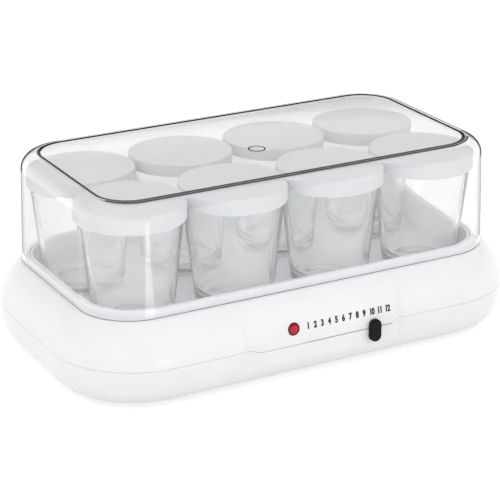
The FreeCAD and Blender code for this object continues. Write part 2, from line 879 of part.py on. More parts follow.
def make_knob():
    body = new_body("time_knob")
    grip = plane_sketch(body, "knob_outline", "XZ_Plane", -knob_back)
    half_x = s.knob_width / 2
    flat_x = half_x - s.knob_corner
    low, high = -s.knob_height / 2 - s.knob_drop, s.knob_height / 2 - s.knob_drop
    flat_low, flat_high = low + s.knob_corner, high - s.knob_corner
    trace(grip, [
        (-flat_x, low, s.knob_corner, 1),
        (flat_x, low),
        (half_x, flat_low, s.knob_corner, 1),
        (half_x, flat_high),
        (flat_x, high, s.knob_corner, 1),
        (-flat_x, high),
        (-half_x, flat_high, s.knob_corner, 1),
        (-half_x, flat_low),
    ])
    block = pad(body, grip, s.knob_depth)
    crown = body.newObject("PartDesign::Fillet", "knob_crown")
    face = min(range(len(block.Shape.Faces)), key=lambda item: block.Shape.Faces[item].CenterOfMass.y)
    crown.Base = (block, [f"Face{face + 1}"])
    crown.setExpression("Radius", s.knob_edge.text)
    doc.recompute()
    stem = plane_sketch(body, "knob_stem", "XZ_Plane", -carrier_back)
    half_stem = s.stem_width / 2
    half_blade = s.slot_height / 2 - s.stem_gap
    trace(stem, rectangle(-half_stem, half_stem, -half_blade, half_blade))
    pad(body, stem, carrier_back - knob_back)
    place(body, knob_x, 0, panel_seam)
    return body


def make_carrier():
    body = new_body("slider_carrier")
    plate = plane_sketch(body, "carrier_outline", "XZ_Plane", -carrier_back)
    half_x, half_z = s.carrier_width / 2, s.carrier_height / 2
    trace(plate, rectangle(-half_x, half_x, -half_z, half_z))
    pad(body, plate, s.carrier_sheet)
    hole = plane_sketch(body, "carrier_hole", "XZ_Plane", -carrier_back)
    half_stem = s.stem_width / 2 + s.screw_gap
    half_blade = s.slot_height / 2 - s.stem_gap + s.screw_gap
    trace(hole, rectangle(-half_stem, half_stem, -half_blade, half_blade))
    pocket(body, hole, s.carrier_sheet, reverse=True)
    place(body, knob_x, 0, panel_seam)
    return body


def make_spring():
    """A leaf bowed back from the carrier towards the guide wall."""
    body = new_body("detent_spring")
    half = s.carrier_width / 2
    outer = (half * half + s.spring_bow * s.spring_bow) / (s.spring_bow * 2)
    inner = outer - s.spring_sheet
    sink = outer - s.spring_bow
    inner_half = root(inner * inner - sink * sink)
    leaf = plane_sketch(body, "spring_leaf", "XY_Plane", -s.spring_width / 2)
    trace(leaf, [
        (-half, carrier_back, outer, 1),
        (-inner_half, carrier_back),
        (inner_half, carrier_back, inner, -1),
        (half, carrier_back),
    ])
    pad(body, leaf, s.spring_width)
    place(body, knob_x, 0, panel_seam)
    return body


# Fasteners, feet and the cord inlet


def screw(label, head_radius, length):
    """A screw that points up, with the seat of its head at its own origin."""
    return turned(label, [
        (0, -s.screw_head_height),
        (head_radius, -s.screw_head_height),
        (head_radius, 0),
        (s.screw_radius, 0),
        (s.screw_radius, length),
        (0, length),
    ])


def screw_group(label, places, height, head_radius, length):
    screws = []
    for index, (x, y) in enumerate(places):
        item = screw(f"{label}_{index + 1}", head_radius, length)
        place(item, x, y, height)
        screws.append(item)
    return group(label, screws)


def make_foot(index, x, y):
    shoulder = s.foot_rise + s.shell_wall + s.foot_stem_gap
    top = shoulder + s.foot_bulb_height
    body = turned(f"foot_{index + 1}", [
        (0, 0),
        (s.foot_radius - s.foot_edge, 0),
        (s.foot_radius, s.foot_edge, s.foot_edge, 1),
        (s.foot_radius, s.foot_rise),
        (s.foot_stem_radius, s.foot_rise),
        (s.foot_stem_radius, shoulder),
        (s.foot_bulb_radius, shoulder),
        (s.foot_stem_radius, top),
        (0, top),
    ])
    place(body, x, y, 0)
    return body


def make_gland():
    """A bush through the back wall that stands out as far behind as the knob does in front."""
    wall_plane = half_width + s.bulge + s.gland_gap
    inner_seat = lower_outside(s.gland_z - s.gland_inner_flange, s.shell_wall) - s.gland_gap
    grip = wall_plane - half_width - inner_seat
    reach = -knob_front - wall_plane
    body = turned("cord_gland", [
        (s.gland_bore, -(grip + s.gland_tail)),
        (s.gland_inner_flange, -(grip + s.gland_tail)),
        (s.gland_inner_flange, -grip),
        (s.gland_neck, -grip),
        (s.gland_neck, 0),
        (s.gland_flange, 0),
        (s.gland_flange, reach),
        (s.gland_bore, reach),
    ])
    place(body, gland_x, wall_plane, s.gland_z, FreeCAD.Vector(1, 0, 0), -90)
    return body


# Terminal block and inner leads

block_top = inner_floor + s.block_height
block_screw_y = block_y + s.block_width / 2
wire_z = inner_floor + s.block_wire_rise
WIRE_PLACES = [gland_x - s.block_pitch, gland_x + 0, gland_x + s.block_pitch]


def make_terminal_block():
    body = new_body("terminal_block")
    base = plane_sketch(body, "block_outline", "XY_Plane", inner_floor)
    half = s.block_length / 2
    trace(base, rectangle(gland_x - half, gland_x + half, block_y, block_y + s.block_width))
    pad(body, base, s.block_height)
    wires = plane_sketch(body, "block_wires", "XZ_Plane", -block_y)
    for x in WIRE_PLACES:
        add_circle(wires, x, wire_z, s.block_wire_radius)
    pocket(body, wires, s.block_wire_depth)
    places = [(x, block_screw_y) for x in WIRE_PLACES]
    wells = circles(body, "block_wells", block_top, places, s.block_screw_radius + s.block_screw_gap)
    pocket(body, wells, s.block_screw_depth)
    return body


def make_terminal_screws():
    bottom = block_top - s.block_screw_depth
    screws = []
    for index, x in enumerate(WIRE_PLACES):
        body = new_body(f"terminal_screw_{index + 1}")
        place_on_block = [(x, block_screw_y)]
        shank = circles(body, f"terminal_shank_{index + 1}", bottom, place_on_block, s.block_screw_radius)
        pad(body, shank, s.block_screw_depth / 2)
        screws.append(body)
    return group("terminal_screws", screws)


def lead(label, route):
    """A tube along straight runs joined by arcs of one bend radius."""
    points = [FreeCAD.Vector(*(Size.of(item).value for item in point)) for point in route]
    bend = s.lead_bend.value
    edges = []
    here = points[0]
    for before, corner, after in zip(points, points[1:], points[2:]):
        inward = (corner - before).normalize()
        outward = (after - corner).normalize()
        half_turn = inward.getAngle(outward) / 2
        reach = bend * math.tan(half_turn)
        start = corner - inward * reach
        end = corner + outward * reach
        bisector = (outward - inward).normalize()
        centre = corner + bisector * (bend / math.cos(half_turn))
        middle = centre - bisector * bend
        edges.append(Part.LineSegment(here, start).toShape())
        edges.append(Part.Arc(start, middle, end).toShape())
        here = end
    edges.append(Part.LineSegment(here, points[-1]).toShape())
    path = Part.Wire(edges)
    direction = points[1] - points[0]
    section = Part.Wire(Part.makeCircle(s.lead_radius.value, points[0], direction))
    feature = doc.addObject("Part::Feature", label)
    feature.Label = label
    feature.Shape = path.makePipeShell([section], True, False)
    feature.Placement = FreeCAD.Placement()
    expected = math.pi * s.lead_radius.value ** 2 * path.Length
    if abs(feature.Shape.Volume / expected - 1) > 0.01:
        raise RuntimeError(f"{label}: volume differs from section times length")
    return feature


def make_leads():
    blade_z = plate_under - s.thermostat_height - s.blade_length
    wire_end_y = block_y + s.block_wire_depth
    fuse_left = fuse_x - fuse_half - s.fuse_wire_length
    fuse_right = fuse_x + fuse_half + s.fuse_wire_length
    left_drop = fuse_left - s.lead_fuse_stand
    right_drop = fuse_right + s.lead_fuse_stand
    outer_x = -(heater_reach + s.lead_stand)
    holder_y = -(half_width + lens_seat - s.lens_flange - s.lamp_holder_length / 2)
    first, second, third = WIRE_PLACES
    return [
        lead("lead_supply", [
            (first, wire_end_y, wire_z), (first, 0, wire_z), (s.blade_offset, 0, wire_z),
            (s.blade_offset, 0, blade_z)]),
        lead("lead_heater", [
            (-s.blade_offset, 0, blade_z), (-s.blade_offset, 0, s.lead_low_z), (outer_x, 0, s.lead_low_z),
            (outer_x, -heater_edge, s.lead_low_z), (outer_x, -heater_edge, heater_z),
            (-heater_reach, -heater_edge, heater_z)]),
        lead("lead_return", [
            (fuse_left, 0, fuse_z), (left_drop, 0, fuse_z), (left_drop, 0, s.lead_high_z),
            (left_drop, heater_edge, s.lead_high_z), (outer_x, heater_edge, s.lead_high_z),
            (outer_x, heater_edge, heater_z), (-heater_reach, heater_edge, heater_z)]),
        lead("lead_fuse", [
            (fuse_right, 0, fuse_z), (right_drop, 0, fuse_z), (right_drop, 0, s.lead_low_z),
            (second, block_y - s.lead_stand, wire_z), (second, wire_end_y, wire_z)]),
        lead("lead_lamp", [
            (s.lamp_x, holder_y, lamp_z - lens_flange_radius), (s.lamp_x, holder_y, wire_z),
            (s.lamp_x, s.lead_front_y, wire_z), (third, s.lead_front_y, wire_z),
            (third, wire_end_y, wire_z)]),
    ]


# Jars and lids


def make_jar(index, x, y):
    foot_ring = s.jar_foot_radius - s.jar_heel - s.jar_punt_margin
    punt_round = (foot_ring * foot_ring + s.jar_punt * s.jar_punt) / (s.jar_punt * 2)
    inner_foot = s.jar_foot_radius - s.jar_wall
    inner_rim = s.jar_rim_radius - s.jar_wall
    lip_low = s.jar_height - s.jar_lip
    body = turned(f"jar_{index}", [
        (0, s.jar_punt),
        (foot_ring, 0, punt_round, -1),
        (s.jar_foot_radius - s.jar_heel, 0),
        (s.jar_foot_radius, s.jar_heel, s.jar_heel, 1),
        (s.jar_rim_radius, lip_low),
        (s.jar_rim_radius - s.jar_lip, s.jar_height, s.jar_lip, 1),
        (inner_rim + s.jar_lip, s.jar_height),
        (inner_rim, lip_low, s.jar_lip, 1),
        (inner_foot, s.jar_base + s.jar_inner_heel),
        (inner_foot - s.jar_inner_heel, s.jar_base, s.jar_inner_heel, -1),
        (0, s.jar_base),
    ])
    place(body, x, y, jar_bottom)
    return body


def make_lid(index, x, y):
    inner = lid_radius - s.lid_wall
    under = s.lid_height - s.lid_top
    body = turned(f"jar_lid_{index}", [
        (0, under),
        (inner, under),
        (inner, 0),
        (lid_radius, 0),
        (lid_radius, s.lid_height - s.lid_edge),
        (lid_radius - s.lid_edge, s.lid_height, s.lid_edge, 1),
        (0, s.lid_height),
    ])
    place(body, x, y, lid_bottom)
    return body


def make_jars():
    pieces = []
    for row in range(JAR_ROWS):
        for column in range(JAR_COLUMNS):
            index = row * JAR_COLUMNS + column + 1
            x = jar_pitch_x * (column - (JAR_COLUMNS - 1) / 2)
            y = jar_pitch_y * (row - (JAR_ROWS - 1) / 2)
            pieces.append(make_jar(index, x, y))
            pieces.append(make_lid(index, x, y))
    return pieces


def make_all():
    pieces = [
        make_upper_shell(),
        make_lower_shell(),
        make_cover(),
        make_tray(),
        make_heater_plate(),
        make_heating_cord(),
        make_heater_clamps(),
        make_thermostat(),
        make_thermal_fuse(),
        make_fuse_clamp(),
        make_lens(),
        make_lamp_holder(),
        make_neon_lamp(),
        make_knob(),
        make_carrier(),
        make_spring(),
        screw_group("shell_screws", POST_PLACES, screw_seat, s.screw_head_radius, s.screw_length),
        screw_group("tray_screws", TRAY_SCREW_PLACES, flange_under, s.tray_screw_head_radius,
                    s.tray_screw_bite),
        make_gland(),
        make_terminal_block(),
        make_terminal_screws(),
    ]
    pieces += [make_foot(index, x, y) for index, (x, y) in enumerate(FOOT_PLACES)]
    pieces += make_leads()
    pieces += make_jars()
    return pieces


def check(pieces):
    """Stop if any object failed, a cut took nothing away, or a piece is not a sound solid."""
    for item in doc.Objects:
        if {"Invalid", "Error"} & set(item.State):
            raise RuntimeError(f"{item.Label}: {item.State}")
        if item.TypeId == "PartDesign::Pocket":
            if item.BaseFeature.Shape.Volume - item.Shape.Volume < 1e-3:
                raise RuntimeError(f"{item.Label} cuts nothing")
    for piece in pieces:
        shape = piece.Shape
        if shape.isNull() or not shape.isValid() or not shape.Solids:
            raise RuntimeError(f"{piece.Label} is not a valid solid")


pieces = make_all()
doc.recompute()
check(pieces)
os.makedirs("parts", exist_ok=True)
for piece in pieces:
    piece.Shape.exportStep(f"parts/{piece.Label}.step")
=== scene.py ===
import json
import math

import bmesh
import bpy
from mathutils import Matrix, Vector


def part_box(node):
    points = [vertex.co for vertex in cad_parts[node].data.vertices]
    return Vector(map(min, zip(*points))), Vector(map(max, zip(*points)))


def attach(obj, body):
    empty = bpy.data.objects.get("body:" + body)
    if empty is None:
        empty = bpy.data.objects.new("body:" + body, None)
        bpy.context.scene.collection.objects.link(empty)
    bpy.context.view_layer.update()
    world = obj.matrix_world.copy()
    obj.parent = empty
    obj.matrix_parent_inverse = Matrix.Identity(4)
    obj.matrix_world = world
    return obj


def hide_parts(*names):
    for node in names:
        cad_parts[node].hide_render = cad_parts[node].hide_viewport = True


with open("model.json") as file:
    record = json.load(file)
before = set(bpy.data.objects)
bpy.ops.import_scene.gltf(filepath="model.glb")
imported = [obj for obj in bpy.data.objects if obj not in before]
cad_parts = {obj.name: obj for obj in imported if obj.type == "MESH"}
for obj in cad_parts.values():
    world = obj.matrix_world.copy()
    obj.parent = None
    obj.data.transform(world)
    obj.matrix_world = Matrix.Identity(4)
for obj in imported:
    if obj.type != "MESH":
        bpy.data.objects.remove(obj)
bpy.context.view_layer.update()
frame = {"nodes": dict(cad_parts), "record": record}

# Yogurt maker: a white heated base, eight lidded glass jars and a clear cover.
# Sizes below are in millimetres, as in the part's sheet; the model itself is in metres.

MM = 0.001

# Jars and lids
JAR_COUNT = 8
JAR_FOOT = 25.2
JAR_WALL = 2.6
JAR_BASE = 5.0
JAR_HEEL = 5.0
JAR_INNER_HEEL = 9.0
JAR_LIP = 0.9
JAR_PUNT = 1.2
JAR_PUNT_MARGIN = 3.0
LID_TOP = 1.5
LID_WALL = 0.9
LID_EDGE = 1.2
LID_BEAD = 0.5

# Clear cover
COVER_CORNER = 36.0
COVER_SLOPE = 0.028
COVER_ROUND = 10.7
COVER_WALL = 2.0
COVER_STEP = 0.6
# Where the painted dark and grey lines of the loop and of the bend's front line lie
LOOP_EDGE = Vector((1.05, 1.15))
LOOP_SHIFT = Vector((0.75, 0.85))
LINE_WIDTH = Vector((0.9, 1.6))
LINE_SHIFT = Vector((0.0, 0.7))
FRONT_LINE_DEGREES = (2.0, 9.0)
FRONT_LINE_REACH = 54.0
FOOT_BAND = 6.0
FOOT_ROUND = 0.35
GATE_RADIUS = 5.8
GATE_RING = 1.0
GATE_DEPTH = 0.5
GATE_FRONT = 8.9
GATE_LEFT = 2.8

# Pilot lamp lens
LENS_RADIUS = 4.0
LENS_FLANGE = 1.5
LENS_DOME = 0.9
LENS_EDGE = 0.5
LENS_GROOVE = 0.2
LENS_FACE = 3.0

# Number scale on the panel
SEAM_HEIGHT = 28.0
PANEL_FACE = 92.15
PANEL_ROUND = 40.30
SCALE_FIRST_X = -11.6
SCALE_PITCH = 5.13
WIDE_PITCH = 5.83
EVEN_GAPS = 8
SCALE_MARKS = 12
DIGIT_HEIGHT = 3.9
DIGIT_NARROW = 0.72
DIGIT_WEIGHT = 0.26
DIGIT_SPACING = 0.9
DIGIT_MIDDLE = 35.6
DIGIT_BANDS = 6
INK_LIFT = 0.04

# Fineness of the meshes
ARC_CHORDS = 12
TURN_STEPS = 96
CORNER_STEPS = 24
SHARP_DEGREES = 35
AXIS_RADIUS = 1e-6
MERGE_DISTANCE = 1e-6  # metres


# Mesh helpers


def leg(start, point):
    """Points from start to point, which is (x, y), or (x, y, radius, turn) when an arc leads to it."""
    start, end = Vector(start[:2]), Vector(point[:2])
    if len(point) == 2:
        return [tuple(end)]
    radius, turn = point[2:]
    chord = end - start
    normal = Vector((-chord.y, chord.x)).normalized()
    depth = math.sqrt(max(radius ** 2 - (chord.length / 2) ** 2, 0))
    centre = (start + end) / 2 + normal * depth * turn
    spoke = start - centre
    sweep = 2 * math.asin(min(chord.length / 2 / radius, 1)) * turn
    points = []
    for step in range(1, ARC_CHORDS):
        angle = sweep * step / ARC_CHORDS
        turned = Vector((spoke.x * math.cos(angle) - spoke.y * math.sin(angle),
                         spoke.x * math.sin(angle) + spoke.y * math.cos(angle)))
        points.append(tuple(centre + turned))
    return points + [tuple(end)]


def new_piece(name, mesh_data):
    """An object from a bmesh, shaded smooth except at its sharp edges."""
    bmesh.ops.recalc_face_normals(mesh_data, faces=mesh_data.faces)
    mesh = bpy.data.meshes.new(name)
    mesh_data.to_mesh(mesh)
    mesh_data.free()
    mesh.shade_smooth()
    mesh.set_sharp_from_angle(angle=math.radians(SHARP_DEGREES))
    piece = bpy.data.objects.new(name, mesh)
    bpy.context.scene.collection.objects.link(piece)
    return piece


def join_rings(mesh_data, lower, upper, finish=0):
    """Faces of one finish between two rings of equal count, either of which may be a single point."""
    count = max(len(lower), len(upper))
    faces = []
    for step in range(count if count > 1 else 0):
        after = (step + 1) % count
        corners = [lower[step % len(lower)], lower[after % len(lower)],
                   upper[after % len(upper)], upper[step % len(upper)]]
        face = mesh_data.faces.new(list(dict.fromkeys(corners)))
        face.material_index = finish
        faces.append(face)
    return faces


def lathe(name, outline, centre, axis=(0, 0, 1), second=()):
    """A closed outline of (radius, height) points turned about an axis through centre. The legs that lead
    to the points numbered in second take the second finish."""
    stand = Vector(axis).to_track_quat("Z", "Y")
    mesh_data = bmesh.new()
    rings = []
    finishes = []
    for number, point in enumerate(outline):
        for radius, height in leg(outline[number - 1], point):
            ring = []
            for step in range(TURN_STEPS if radius > AXIS_RADIUS else 1):
                angle = 2 * math.pi * step / TURN_STEPS
                place = Vector((radius * math.cos(angle), radius * math.sin(angle), height))
                ring.append(mesh_data.verts.new(stand @ place * MM + centre))
            rings.append(ring)
            finishes.append(int(number in second))
    for before, ring in enumerate(rings):
        after = (before + 1) % len(rings)
        join_rings(mesh_data, ring, rings[after], finishes[after])
    return new_piece(name, mesh_data)


def rounded_loop(half_x, half_y, corner):
    """Points round a rounded rectangle, the same number whatever its size."""
    loop = []
    for quarter, (side_x, side_y) in enumerate([(1, -1), (1, 1), (-1, 1), (-1, -1)]):
        centre = Vector((side_x * (half_x - corner), side_y * (half_y - corner)))
        for step in range(CORNER_STEPS + 1):
            angle = math.radians(90 * (quarter - 1 + step / CORNER_STEPS))
            loop.append(centre + Vector((math.cos(angle), math.sin(angle))) * corner)
    return loop


def dress(piece, body, node, slot, *finishes):
    """Give a piece its finishes and let it ride on a body in place of a node."""
    for finish in finishes:
        piece.data.materials.append(finish)
    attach(piece, body)
    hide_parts(node)


# Jars and lids

# Legs of the outline that make the outside of a jar, which takes the painted dark rim
JAR_OUTER_LEGS = (3, 4, 5)


def jar_outline(rim, height):
    inner_foot = JAR_FOOT - JAR_WALL
    inner_rim = rim - JAR_WALL
    lip_low = height - JAR_LIP
    punt_radius = JAR_FOOT - JAR_HEEL - JAR_PUNT_MARGIN
    punt_round = (punt_radius ** 2 + JAR_PUNT ** 2) / (2 * JAR_PUNT)
    return [
        (0, JAR_PUNT),
        (punt_radius, 0, punt_round, -1),
        (JAR_FOOT - JAR_HEEL, 0),
        (JAR_FOOT, JAR_HEEL, JAR_HEEL, 1),
        (rim, lip_low),
        (rim - JAR_LIP, height, JAR_LIP, 1),
        (inner_rim + JAR_LIP, height),
        (inner_rim, lip_low, JAR_LIP, 1),
        (inner_foot, JAR_BASE + JAR_INNER_HEEL),
        (inner_foot - JAR_INNER_HEEL, JAR_BASE, JAR_INNER_HEEL, -1),
        (0, JAR_BASE),
    ]


def lid_outline(radius, height):
    inner = radius - LID_WALL
    under = height - LID_TOP
    return [
        (0, under),
        (inner, under),
        (inner, 0),
        (radius - LID_BEAD, 0),
        (radius, LID_BEAD, LID_BEAD, 1),
        (radius, height - LID_EDGE),
        (radius - LID_EDGE, height, LID_EDGE, 1),
        (0, height),
    ]


def turned_like(name, node, outline, second=()):
    """A turned piece with the radius, height and place of an upright node."""
    low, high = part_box(node)
    centre = Vector(((low.x + high.x) / 2, (low.y + high.y) / 2, low.z))
    points = outline((high.x - low.x) / 2 / MM, (high.z - low.z) / MM)
    return lathe(name, points, centre, second=second)


def build_jars(glass, outer_glass, lid_plastic):
    for index in range(1, JAR_COUNT + 1):
        jar = turned_like(f"glass_jar_{index}", f"jar_{index}", jar_outline, JAR_OUTER_LEGS)
        dress(jar, f"jar_{index}", f"jar_{index}", "jar_glass", glass, outer_glass)
        lid = turned_like(f"snap_lid_{index}", f"jar_lid_{index}", lid_outline)
        dress(lid, f"lid_{index}", f"jar_lid_{index}", "frosted_lid", lid_plastic)


# Clear cover

# Finishes of the cover, in the order in which they are given to it
# PANEL, FOOT, EDGE and DIM are glass tinted grey or dark, and BEND, CORNER and WALL are painted darker edge
# on: painted shade; INNER is plain clear.
PANEL, BEND, CORNER, WALL, FOOT, INNER, EDGE, DIM = range(8)


def cover_legs(height):
    """The cover's section from the edge of its flat top down to the foot and up inside, as (outward,
    height) points, each with the finish of the leg that leads to it."""
    stretch = math.hypot(1, COVER_SLOPE)
    sine, cosine = COVER_SLOPE / stretch, 1 / stretch
    inner_round = COVER_ROUND - COVER_WALL
    axis_height = height - COVER_ROUND
    shoulder = axis_height + COVER_ROUND * sine
    axis = -shoulder * COVER_SLOPE - COVER_ROUND * cosine
    inside = -(COVER_WALL * stretch)
    line_high, line_low = (
        (axis + COVER_ROUND * math.sin(angle), axis_height + COVER_ROUND * math.cos(angle))
        for angle in map(math.radians, FRONT_LINE_DEGREES))
    return [
        (BEND, (axis, height)),
        (BEND, (*line_high, COVER_ROUND, -1)),
        (EDGE, (*line_low, COVER_ROUND, -1)),
        (BEND, (-shoulder * COVER_SLOPE, shoulder, COVER_ROUND, -1)),
        (WALL, (-FOOT_BAND * COVER_SLOPE, FOOT_BAND)),
        (FOOT, (0, FOOT_ROUND)),
        (FOOT, (-FOOT_ROUND, 0, FOOT_ROUND, -1)),
        (INNER, (inside + FOOT_ROUND, 0)),
        (INNER, (inside, FOOT_ROUND, FOOT_ROUND, -1)),
        (INNER, (axis + inner_round * cosine, axis_height + inner_round * sine)),
        (INNER, (axis, height - COVER_WALL, inner_round, 1)),
    ]


def build_cover(*finishes):
    """A box open below with a rounded top edge, a top panel set in a loop and a ring mark in the panel."""
    low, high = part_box("clear_cover")
    height = (high.z - low.z) / MM
    panel = height - COVER_STEP
    legs = cover_legs(height)
    mesh_data = bmesh.new()

    def ring(half_x, half_y, corner, rise, x=0.0, y=0.0):
        return [mesh_data.verts.new(Vector((p.x + x, p.y + y, rise + low.z / MM)) * MM)
                for p in rounded_loop(half_x, half_y, corner)]

    def wall_ring(offset, rise):
        return ring(high.x / MM + offset, high.y / MM + offset, COVER_CORNER + offset, rise)

    def loop_ring(inset, shift, rise):
        edge = legs[0][1][0]
        return ring(high.x / MM + edge - inset.x, high.y / MM + edge - inset.y,
                    COVER_CORNER + edge - inset.x, rise, *shift)

    def gate_ring(radius, rise):
        return ring(radius, radius, radius, rise, -GATE_LEFT, -GATE_FRONT)

    def in_side_corner(place):
        """True in the rounded corners at the front right and at the back left."""
        past_x = abs(place.x) > high.x - COVER_CORNER * MM
        past_y = abs(place.y) > high.y - COVER_CORNER * MM
        return past_x and past_y and place.x * place.y < 0

    top = last = wall_ring(*legs[0][1])
    for (_, before), (finish, point) in zip(legs, legs[1:]):
        for station in leg(before, point):
            following = wall_ring(*station)
            for face in join_rings(mesh_data, last, following, finish):
                middle = face.calc_center_median()
                # The painted dark line on the bend runs along the front only, and the side corners take
                # their own painted edge shade.
                if finish == EDGE and middle.y > -FRONT_LINE_REACH * MM:
                    face.material_index = BEND
                if face.material_index == BEND and in_side_corner(middle):
                    face.material_index = CORNER
            last = following
    mesh_data.faces.new(last).material_index = INNER

    last = top
    # The loop round the top panel and the ring mark take the painted dark and grey lines.
    for finish, following in (
            (DIM, loop_ring(LOOP_EDGE, LOOP_SHIFT, height)),
            (EDGE, loop_ring(LOOP_EDGE, LOOP_SHIFT, panel)),
            (EDGE, loop_ring(LOOP_EDGE + LINE_WIDTH, LOOP_SHIFT + LINE_SHIFT, panel)),
            (PANEL, gate_ring(GATE_RADIUS, panel)),
            (EDGE, gate_ring(GATE_RADIUS, panel - GATE_DEPTH)),
            (EDGE, gate_ring(GATE_RADIUS - GATE_RING, panel - GATE_DEPTH)),
            (EDGE, gate_ring(GATE_RADIUS - GATE_RING, panel))):
        join_rings(mesh_data, last, following, finish)
        last = following
    mesh_data.faces.new(last)
    bmesh.ops.remove_doubles(mesh_data, verts=mesh_data.verts, dist=MERGE_DISTANCE)
    dress(new_piece("cover_shell", mesh_data), "cover", "clear_cover", "clear_cover", *finishes)


# Pilot lamp and printed scale

# Legs of the outline that make the rim of the lens, which is painted a darker red as painted shade
LENS_RIM_LEGS = (3, 4, 5, 6)


def build_lens(red, rim):
    """A low red dome within a rounded rim painted a darker red as painted shade, facing the front."""
    low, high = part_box("pilot_lamp_lens")
    centre = Vector(((low.x + high.x) / 2, high.y, (low.z + high.z) / 2))
    flange = (high.x - low.x) / 2 / MM
    crown = (high.y - low.y) / MM
    collar = crown - LENS_DOME
    dome_round = (LENS_FACE ** 2 + LENS_DOME ** 2) / (2 * LENS_DOME)
    lens = lathe("lamp_lens", [
        (0, 0),
        (flange, 0),
        (flange, LENS_FLANGE),
        (LENS_RADIUS, LENS_FLANGE),
        (LENS_RADIUS, collar - LENS_EDGE),
        (LENS_RADIUS - LENS_EDGE, collar, LENS_EDGE, 1),
        (LENS_FACE, collar - LENS_GROOVE),
        (0, crown - LENS_GROOVE, dome_round, 1),
    ], centre, axis=(0, -1, 0), second=LENS_RIM_LEGS)
    dress(lens, "base", "pilot_lamp_lens", "red_lens", red, rim)


def panel_depth(height):
    """How far in front of the middle plane the panel's face lies at a height."""
    rise = max(height - SEAM_HEIGHT, 0)
    return PANEL_FACE - PANEL_ROUND + math.sqrt(PANEL_ROUND ** 2 - rise ** 2)


def build_scale(ink):
    """The hours of the time scale, printed in bold on the curved panel above the slot. The flat numbers
    are cut into level bands, so that they follow the curve."""
    mesh_data = bmesh.new()
    for mark in range(SCALE_MARKS):
        curve = bpy.data.curves.new(f"mark_{mark + 1}", "FONT")
        curve.body = str(mark + 1)
        curve.align_x = "CENTER"
        curve.space_character = DIGIT_SPACING
        text = bpy.data.objects.new(curve.name, curve)
        flat = bpy.data.meshes.new_from_object(text)
        heights = [v.co.y for v in flat.vertices]
        low, high = min(heights), max(heights)
        scale = DIGIT_HEIGHT / (high - low)
        middle = SCALE_FIRST_X + SCALE_PITCH * min(mark, EVEN_GAPS) + WIDE_PITCH * max(mark - EVEN_GAPS, 0)
        for vertex in flat.vertices:
            x = middle + vertex.co.x * scale * DIGIT_NARROW
            vertex.co = (x, (vertex.co.y - (low + high) / 2) * scale, 0)
        mesh_data.from_mesh(flat)
        bpy.data.objects.remove(text)
    grown = bmesh.ops.inset_region(mesh_data, faces=mesh_data.faces[:], thickness=-DIGIT_WEIGHT,
                                   use_boundary=True, use_even_offset=True)
    bmesh.ops.delete(mesh_data, geom=grown["faces"], context="FACES")
    for band in range(1, DIGIT_BANDS):
        level = Vector((0, DIGIT_HEIGHT * (band / DIGIT_BANDS - 0.5), 0))
        geometry = mesh_data.verts[:] + mesh_data.edges[:] + mesh_data.faces[:]
        bmesh.ops.bisect_plane(mesh_data, geom=geometry, plane_co=level, plane_no=(0, 1, 0))
    for vertex in mesh_data.verts:
        z = DIGIT_MIDDLE + vertex.co.y
        vertex.co = Vector((vertex.co.x, -panel_depth(z) - INK_LIFT, z)) * MM
    scale_piece = new_piece("scale_numbers", mesh_data)
    scale_piece.data.materials.append(ink)
    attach(scale_piece, "base")


# Materials

UNTINTED = (1.0, 1.0, 1.0)
EDGE_SHADE = (0.03, 0.03, 0.032)
JAR_RIM_FACING = (0.75, 0.98)
COVER_IOR = 1.49
NOISE_LOW = 0.3
NOISE_HIGH = 0.7
DRIFT_DETAIL = 3.0
FINE_DETAIL = 4.0
FINE_RATIO = 6
FINE_DEPTH = 0.00005  # metres
COARSE_DEPTH = 0.0002  # metres
PLAIN_SCALE = 200
PLAIN_GRAIN_SCALE = 1000
PLAIN_GRAIN = 0.1

# By slot: name, darkest and palest colour, lowest and highest roughness, share of metal
PLAIN_FINISHES = {
    "spring_steel": ("spring_strip", (0.5, 0.5, 0.5), (0.62, 0.62, 0.62), (0.25, 0.4), 1.0),
    "screw_steel": ("zinc_screw", (0.5, 0.5, 0.51), (0.62, 0.62, 0.63), (0.3, 0.45), 1.0),
    "bare_aluminium": ("rolled_sheet", (0.74, 0.74, 0.75), (0.82, 0.82, 0.83), (0.3, 0.45), 1.0),
    "heater_silicone": ("heater_sleeve", (0.68, 0.64, 0.6), (0.75, 0.72, 0.68), (0.5, 0.65), 0.0),
    "phenolic": ("phenolic_case", (0.05, 0.04, 0.035), (0.09, 0.07, 0.06), (0.45, 0.6), 0.0),
    "fuse_ceramic": ("fuse_case", (0.68, 0.62, 0.5), (0.75, 0.7, 0.6), (0.35, 0.5), 0.0),
    "nylon": ("natural_nylon", (0.78, 0.77, 0.72), (0.85, 0.84, 0.8), (0.45, 0.6), 0.0),
    "lamp_glass": ("lamp_bulb", (0.85, 0.7, 0.62), (0.92, 0.8, 0.72), (0.08, 0.15), 0.0),
    "gland_rubber": ("cord_bush", (0.72, 0.72, 0.72), (0.78, 0.78, 0.78), (0.55, 0.7), 0.0),
    "lead_insulation": ("wire_sleeve", (0.76, 0.76, 0.73), (0.84, 0.84, 0.81), (0.4, 0.55), 0.0),
    "foot_rubber": ("rubber_foot", (0.4, 0.4, 0.41), (0.48, 0.48, 0.49), (0.65, 0.8), 0.0),
}


